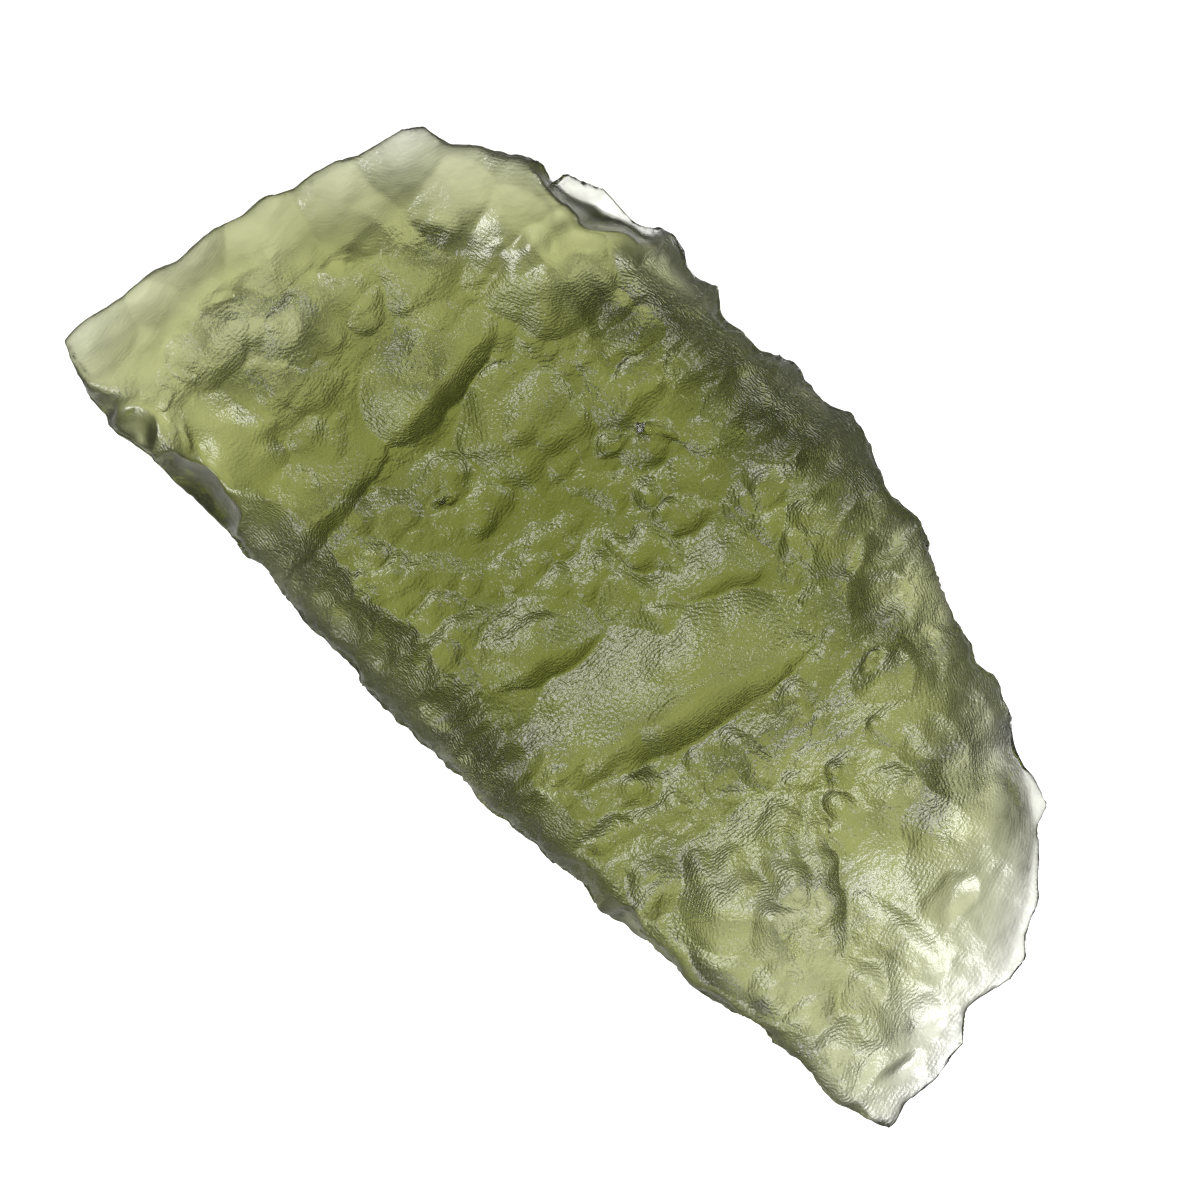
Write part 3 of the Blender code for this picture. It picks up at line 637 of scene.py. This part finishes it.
def small_pits(seed):
    """A seeded spread of small pits over the whole outline."""
    spread = np.random.default_rng(seed)
    pits = []
    for _ in range(SMALL_PITS):
        x = spread.uniform(-SMALL_PIT_PLACE[0], SMALL_PIT_PLACE[0])
        y = spread.uniform(-SMALL_PIT_PLACE[1], SMALL_PIT_PLACE[1])
        radius = spread.uniform(*SMALL_PIT_RADIUS)
        stretch = spread.uniform(*SMALL_PIT_STRETCH)
        turn = spread.normal(*SMALL_PIT_TURN)
        depth = spread.uniform(*SMALL_PIT_DEPTH)
        pits.append((x, y, radius * stretch, radius, turn, depth))
    return pits


def wall_pits(seed):
    """A seeded spread of pits around the wall: place along the outline, height, sizes and depth."""
    spread = np.random.default_rng(seed)
    around = sum(math.dist(a, b) for a, b in zip(OUTLINE, OUTLINE[1:] + OUTLINE[:1]))
    pits = []
    for _ in range(WALL_PITS):
        place = spread.uniform(0.0, around)
        height = spread.uniform(*WALL_PIT_HEIGHT)
        wide = spread.uniform(*WALL_PIT_WIDTH)
        tall = spread.uniform(*WALL_PIT_RISE)
        depth = spread.uniform(*WALL_PIT_DEPTH)
        pits.append((place, height, wide, tall, spread.normal(0.0, WALL_PIT_LEAN), depth))
    return pits


def waves(x, y, height, shortest, longest, seed):
    """A gentle unevenness: a seeded sum of a few sine waves."""
    spread = np.random.default_rng(seed)
    total = np.zeros(x.shape)
    for _ in range(WAVE_COUNT):
        way = spread.uniform(0.0, math.tau)
        step = spread.uniform(shortest, longest)
        start = spread.uniform(0.0, math.tau)
        along = x * math.cos(way) + y * math.sin(way)
        total += np.sin(math.tau * along / step + start)
    return height * total / math.sqrt(WAVE_COUNT)


def warped(x, y, height, shortest, longest, seed):
    """The same places, shifted sideways a little by waves, so that round outlines become uneven."""
    shift_x = waves(x, y, height, shortest, longest, seed)
    shift_y = waves(x, y, height, shortest, longest, seed + 1)
    return x + shift_x, y + shift_y


def packed_pits(points, spacing, depth, seed):
    """Pits packed side by side in space, one to a cell, each with its own place, size and depth."""
    spread = np.random.default_rng(seed)
    table = spread.uniform(0.0, 1.0, (5, PACKED_CELLS, PACKED_CELLS, PACKED_CELLS))
    cells = points / np.array(spacing) + PACKED_START
    home = np.floor(cells).astype(int)
    deepest = np.zeros(len(points))
    for step in itertools.product((-1, 0, 1), repeat=3):
        cell = home + np.array(step)
        shift_x, shift_y, shift_z, size, share = table[:, *(cell % PACKED_CELLS).T]
        gap = cells - cell - np.stack((shift_x, shift_y, shift_z), axis=1)
        radius = np.interp(size, (0.0, 1.0), PACKED_RADIUS)
        reach = np.clip(1.0 - np.linalg.norm(gap, axis=1) / radius, 0.0, None)
        deepest = np.maximum(deepest, depth * np.interp(share, (0.0, 1.0), PACKED_SHARE) * reach)
    return deepest


def rim_rounding(rim, width, start):
    """From start at the outline up to 1 at the width inside it, steepest at the outline."""
    inward = np.clip(rim / width, 0.0, 1.0)
    return start + (1.0 - start) * np.sqrt(1.0 - (1.0 - inward) ** 2)


def top_height(x, y):
    """The stone's upper surface, in millimetres above the surface it rests on."""
    height = HEIGHT - DOME_FALL[0] * (x - DOME_MIDDLE[0]) ** 2
    height = height - DOME_FALL[1] * (y - DOME_MIDDLE[1]) ** 2
    for face in TOP_FACES:
        height = soft_min(height, face_height(x, y, face, -1.0), TOP_RIDGE)
    height = height + waves(x, y, *TOP_WAVES)
    wx, wy = warped(x, y, *TROUGH_WARP)
    height = height - hollow_depth(wx, wy, TOP_TROUGHS, FUNNEL, TROUGH_LEAN)
    wx, wy = warped(x, y, *HOLLOW_WARP)
    height = height - hollow_depth(wx, wy, TOP_HOLLOWS, BOWL)
    height = height - PIT_SHARE * hollow_depth(wx, wy, TOP_PITS, PIT_STEEPNESS)
    height = height - hollow_depth(x, y, TOP_SCALLOPS, FUNNEL)
    height = height - ramp_depth(x, y, TOP_RAMPS)
    height = height - hollow_depth(wx, wy, TOP_SHELVES, FLAT_FLOOR)
    return height - etched_share(x, y) * hollow_depth(x, y, small_pits(TOP_SEED), BOWL)


def rest_share(x, y):
    """1 over the flat patch that the stone rests on, fading to 0 around it."""
    u = (x - REST_MIDDLE[0]) / REST_HALF[0]
    v = (y - REST_MIDDLE[1]) / REST_HALF[1]
    return 1.0 - np.clip((u * u + v * v) - 1.0, 0.0, 1.0)


def under_height(x, y):
    """The stone's underside, with the flat patch that it rests on at height 0."""
    height = np.zeros(x.shape)
    for face in UNDER_FACES:
        height = -soft_min(-height, -face_height(x, y, face, 1.0), UNDER_RIDGE)
    relief = waves(x, y, *UNDER_WAVES)
    relief = relief + hollow_depth(x, y, UNDER_HOLLOWS, BOWL)
    relief = relief + hollow_depth(x, y, small_pits(UNDER_SEED), BOWL)
    share = FRESH_RELIEF + (1.0 - FRESH_RELIEF) * etched_share(x, y)
    lift = UNDER_LIFT + share * relief
    return height + (1.0 - rest_share(x, y)) * np.clip(lift, 0.0, None)


def etch_skin(mesh):
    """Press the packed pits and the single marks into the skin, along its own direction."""
    points = read_points(mesh) / MM
    flat = np.empty(3 * len(mesh.vertices))
    mesh.vertex_normals.foreach_get("vector", flat)
    normals = flat.reshape(-1, 3)
    x, y, z = points.T
    wx, wy = warped(x, y, *SKIN_WARP)
    bent = np.stack((wx, wy, z), axis=1)
    pits = sum(packed_pits(bent, *size) for size in PACKED_PITS)
    facing = np.clip(normals[:, 2] / TOP_TILT, 0.0, 1.0)
    wall = 1.0 - facing
    smooth = facing * hollow_depth(x, y, SMOOTH_PARTS, SHARP_EDGE)
    pitted = (1.0 - smooth) * (1.0 + WALL_PITTED * wall) * etched_share(x, y)
    fresh = 1.0 - etched_share(x, y)
    pitted = pitted + fresh * (FRESH_PITTED + FRESH_WALL_PITTED * wall)
    pitted = np.where(normals[:, 2] < 0.0, UNDER_PITTED * pitted, pitted)
    inward = pitted * pits + facing * hollow_depth(x, y, SMALL_MARKS, BOWL)
    inward = inward * (1.0 - rest_share(x, y) * (z < REST_SKIN))
    points = points - normals * inward[:, None]
    write_points(mesh, points * MM)


def outline_slab(slab, step):
    """A flat slab of the stone's outline in a bmesh, then meshed evenly by a voxel remesh."""
    shape = bmesh.new()
    corners = [shape.verts.new((x * MM, y * MM, -0.5 * slab * MM)) for x, y in OUTLINE]
    face = shape.faces.new(corners)
    grown = bmesh.ops.extrude_face_region(shape, geom=[face])
    risen = [part for part in grown["geom"] if isinstance(part, bmesh.types.BMVert)]
    bmesh.ops.translate(shape, verts=risen, vec=(0.0, 0.0, slab * MM))
    bmesh.ops.recalc_face_normals(shape, faces=shape.faces)
    mesh = bpy.data.meshes.new("slab")
    shape.to_mesh(mesh)
    shape.free()
    thing = bpy.data.objects.new("slab", mesh)
    bpy.context.scene.collection.objects.link(thing)
    even = thing.modifiers.new("even", "REMESH")
    even.mode = "VOXEL"
    even.voxel_size = step
    graph = bpy.context.evaluated_depsgraph_get()
    fine = bpy.data.meshes.new_from_object(thing.evaluated_get(graph))
    bpy.data.objects.remove(thing, do_unlink=True)
    return fine


def shape_stone(mesh, slab):
    """Turn the even slab into the stone."""
    points = read_points(mesh) / MM
    x, y = points[:, 0], points[:, 1]
    up = np.clip(points[:, 2] / (FACE_GAP * slab) + 0.5, 0.0, 1.0)
    rim, place, inward_x, inward_y = rim_frame(x, y)
    etched = etched_share(x, y)
    top = top_height(x, y)
    under = under_height(x, y)
    # Where the stone would be too thin, the top and the underside give way by half each.
    lack = np.clip(THINNEST - (top - under), 0.0, None)
    top = top + 0.5 * lack
    under = under - 0.5 * lack
    middle = BULGE * top + (1.0 - BULGE) * under
    width = [low + (high - low) * etched for low, high in zip(*RIM_WIDTH.values())]
    start = [low + (high - low) * etched for low, high in zip(*RIM_START.values())]
    top = middle + (top - middle) * rim_rounding(rim, width[0], start[0])
    under = middle + (under - middle) * rim_rounding(rim, width[1], start[1])
    height = under + (top - under) * up

    flutes = FLUTE_DEPTH * (1.0 + waves(place, FLUTE_SLANT * height, *FLUTE_WAVES))
    dent = flutes + hollow_depth(place, height, wall_pits(WALL_SEED), BOWL)
    dent = (dent - MEAN_DENT) * (FRESH_DENT + (1.0 - FRESH_DENT) * etched)
    dent = dent * np.clip(1.0 - rim / WALL_REACH, 0.0, 1.0) ** 2
    points[:, 0] = x + inward_x * dent
    points[:, 1] = y + inward_y * dent
    points[:, 2] = height
    write_points(mesh, points * MM)


def note_etched(mesh):
    """Note how etched the skin is at each point of the mesh."""
    points = read_points(mesh) / MM
    note = mesh.attributes.new("etched", "FLOAT", "POINT")
    note.data.foreach_set("value", etched_share(points[:, 0], points[:, 1]))


def fit_to_box(mesh, low, high):
    """Stretch and move the mesh a hair, so that its box is the one given."""
    points = read_points(mesh)
    own_low = points.min(axis=0)
    own_high = points.max(axis=0)
    share = (points - own_low) / (own_high - own_low)
    write_points(mesh, np.array(low) + share * (np.array(high) - np.array(low)))


def thin_out(thing, kept):
    """Thin out the faces of the underside, and keep the given share of all faces."""
    mesh = thing.data
    group = thing.vertex_groups.new(name="underside")
    below = [v.index for v in mesh.vertices if v.normal.z < UNDERSIDE_TILT]
    group.add(below, 1.0, "REPLACE")
    fewer = thing.modifiers.new("fewer", "DECIMATE")
    fewer.ratio = kept
    fewer.vertex_group = group.name
    fewer.vertex_group_factor = UNDERSIDE_THINNING
    graph = bpy.context.evaluated_depsgraph_get()
    slim = bpy.data.meshes.new_from_object(thing.evaluated_get(graph))
    thing.modifiers.clear()
    thing.vertex_groups.clear()
    thing.data = slim
    bpy.data.meshes.remove(mesh)


class StoneSettings(bpy.types.PropertyGroup):
    """Sizes and finish of the stone."""

    mesh_step: bpy.props.FloatProperty(
        name="Mesh step", description="Side of one face of the stone's upper surface",
        default=0.11 * MM, min=0.05 * MM, unit="LENGTH", precision=6,
    )
    kept_faces: bpy.props.FloatProperty(
        name="Faces kept", description="Share of the faces kept when the underside is thinned out",
        default=0.64, min=0.05, max=1.0, subtype="FACTOR",
    )
    slab: bpy.props.FloatProperty(
        name="Slab", description="Height of the slab that the stone is shaped from, in millimetres",
        default=2.8, min=1.0,
    )
    deep_colour: bpy.props.FloatVectorProperty(
        name="Deep colour", description="What the glass lets through, seen through its thickness",
        default=linear("CFD388")[:3], subtype="COLOR", min=0.0, max=1.0,
    )
    deep_density: bpy.props.FloatProperty(
        name="Deep density", description="How fast the colour deepens, per metre",
        default=560.0, min=0.0,
    )
    skin_roughness: bpy.props.FloatProperty(
        name="Skin roughness", description="Roughness of the etched skin",
        default=0.38, min=0.0, max=1.0, subtype="FACTOR",
    )
    fresh_roughness: bpy.props.FloatProperty(
        name="Fresh roughness", description="Roughness of the late breaks",
        default=0.25, min=0.0, max=1.0, subtype="FACTOR",
    )


class StageSettings(bpy.types.PropertyGroup):
    """Floor, lights and camera."""

    floor_colour: bpy.props.FloatVectorProperty(
        name="Floor colour", description="Colour of the lit table",
        default=linear("FDFDFB")[:3], subtype="COLOR", min=0.0, max=1.0,
    )
    floor_glow: bpy.props.FloatProperty(
        name="Floor glow", description="Brightness of the table's own light",
        default=0.9, min=0.0,
    )
    panel_power: bpy.props.FloatProperty(
        name="Panel power", description="Power of the lit panel under the table, in watts",
        default=0.155, min=0.0,
    )
    panel_spread: bpy.props.FloatProperty(
        name="Panel spread", description="Angle over which the panel under the table shines",
        default=math.radians(80.0), min=0.1, max=math.pi, subtype="ANGLE",
    )
    key_power: bpy.props.FloatProperty(
        name="Key power", description="Power of the light on the thin end's side, in watts",
        default=2.0, min=0.0,
    )
    fill_power: bpy.props.FloatProperty(
        name="Fill power", description="Power of the weak light on each long edge's side, in watts",
        default=0.8, min=0.0,
    )
    sky_glow: bpy.props.FloatProperty(
        name="Sky glow", description="Brightness of the room around the stone",
        default=0.10, min=0.0,
    )
    frame_width: bpy.props.FloatProperty(
        name="Frame width", description="Width of the picture at the stone's outline",
        default=42.1 * MM, unit="LENGTH", precision=5,
    )
    camera_distance: bpy.props.FloatProperty(
        name="Camera distance", description="From the camera down to the stone's outline",
        default=360.0 * MM, unit="LENGTH",
    )


class MOLDAVITE_OT_stone(bpy.types.Operator):
    """Model the stone and give it its glass"""

    bl_idname = "moldavite.stone"
    bl_label = "Stone"

    def execute(self, context):
        settings = context.scene.moldavite_stone
        mesh = outline_slab(settings.slab, settings.mesh_step)
        mesh.name = "moldavite_stone"
        shape_stone(mesh, settings.slab)
        etch_skin(mesh)
        stone = bpy.data.objects.new("moldavite_stone", mesh)
        context.scene.collection.objects.link(stone)
        thin_out(stone, settings.kept_faces)
        note_etched(stone.data)
        fit_to_box(stone.data, *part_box("moldavite"))
        stone.data.materials.append(etched_glass(settings))
        stone.data.shade_smooth()
        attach(stone, "root")
        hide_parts("moldavite")
        return {"FINISHED"}


def add_backdrop(context, name, shape, material):
    """A part of the white surround. It shows to the camera, and the stone is lit past it."""
    mesh = bpy.data.meshes.new(name)
    shape.to_mesh(mesh)
    shape.free()
    mesh.materials.append(material)
    backdrop = bpy.data.objects.new(name, mesh)
    backdrop.visible_diffuse = False
    backdrop.visible_glossy = False
    backdrop.visible_transmission = False
    backdrop.visible_shadow = False
    context.scene.collection.objects.link(backdrop)


def add_area_light(context, name, place, size, power):
    """A square soft white light at the place, in millimetres, turned to the stone."""
    lamp = bpy.data.lights.new(name, "AREA")
    lamp.size = size * MM
    lamp.energy = power
    light = bpy.data.objects.new(name, lamp)
    light.location = [c * MM for c in place]
    away = [p - m for p, m in zip(place, STONE_MIDDLE)]
    tilt = math.atan2(math.hypot(away[0], away[1]), away[2])
    turn = math.atan2(away[1], away[0])
    light.rotation_euler = (0.0, tilt, turn)
    context.scene.collection.objects.link(light)
    return light


class MOLDAVITE_OT_stage(bpy.types.Operator):
    """Set the lit table, the lights and the camera"""

    bl_idname = "moldavite.stage"
    bl_label = "Stage"

    def execute(self, context):
        settings = context.scene.moldavite_stage
        white = lit_acrylic(settings)
        table = bmesh.new()
        bmesh.ops.create_grid(table, x_segments=1, y_segments=1, size=TABLE_HALF * MM)
        bmesh.ops.translate(table, verts=table.verts, vec=(0.0, 0.0, -TABLE_DROP * MM))
        add_backdrop(context, "table", table, white)
        dome = bmesh.new()
        bmesh.ops.create_icosphere(dome, subdivisions=4, radius=DOME_RADIUS * MM)
        bmesh.ops.reverse_faces(dome, faces=dome.faces)
        add_backdrop(context, "dome", dome, white)

        world = bpy.data.worlds.new("room")
        world.use_nodes = True
        sky = world.node_tree.nodes["Background"]
        sky.inputs["Color"].default_value = linear("F4F4F0")
        sky.inputs["Strength"].default_value = settings.sky_glow
        context.scene.world = world
        add_area_light(context, "key", KEY_PLACE, KEY_SIZE, settings.key_power)
        for name, place in FILL_PLACES.items():
            add_area_light(context, name, place, FILL_SIZE, settings.fill_power)
        panel = add_area_light(context, "panel", PANEL_PLACE, PANEL_SIZE, settings.panel_power)
        panel.rotation_euler = (math.pi, 0.0, 0.0)
        panel.data.spread = settings.panel_spread

        context.scene.view_settings.view_transform = "Standard"
        lens = bpy.data.cameras.new("camera")
        lens.sensor_width = SENSOR_WIDTH
        lens.lens = SENSOR_WIDTH * settings.camera_distance / settings.frame_width
        lens.clip_start = CAMERA_NEAR * MM
        lens.clip_end = CAMERA_FAR * MM
        camera = bpy.data.objects.new("camera", lens)
        camera.location = (
            CAMERA_MIDDLE[0] * MM,
            CAMERA_MIDDLE[1] * MM,
            settings.camera_distance + OUTLINE_LEVEL * MM,
        )
        camera.rotation_euler = (0.0, 0.0, math.radians(CAMERA_TURN))
        context.scene.collection.objects.link(camera)
        context.scene.camera = camera
        return {"FINISHED"}


class MOLDAVITE_PT_panel(bpy.types.Panel):
    """The stone and its stage"""

    bl_label = "Moldavite"
    bl_idname = "MOLDAVITE_PT_panel"
    bl_space_type = "VIEW_3D"
    bl_region_type = "UI"
    bl_category = "Moldavite"

    def draw(self, context):
        for settings, operator in (
            (context.scene.moldavite_stone, MOLDAVITE_OT_stone),
            (context.scene.moldavite_stage, MOLDAVITE_OT_stage),
        ):
            box = self.layout.box()
            for name in settings.bl_rna.properties.keys():
                if name not in ("rna_type", "name"):
                    box.prop(settings, name)
            box.operator(operator.bl_idname)


CLASSES = (
    StoneSettings,
    StageSettings,
    MOLDAVITE_OT_stone,
    MOLDAVITE_OT_stage,
    MOLDAVITE_PT_panel,
)


def register():
    """Add the classes and their settings to Blender."""
    for part in CLASSES:
        bpy.utils.register_class(part)
    bpy.types.Scene.moldavite_stone = bpy.props.PointerProperty(type=StoneSettings)
    bpy.types.Scene.moldavite_stage = bpy.props.PointerProperty(type=StageSettings)


def unregister():
    """Take the classes and their settings out again."""
    del bpy.types.Scene.moldavite_stage
    del bpy.types.Scene.moldavite_stone
    for part in reversed(CLASSES):
        bpy.utils.unregister_class(part)


def main():
    """Build the stone and its stage."""
    register()
    bpy.ops.moldavite.stone()
    bpy.ops.moldavite.stage()


if __name__ == "__main__":
    main()
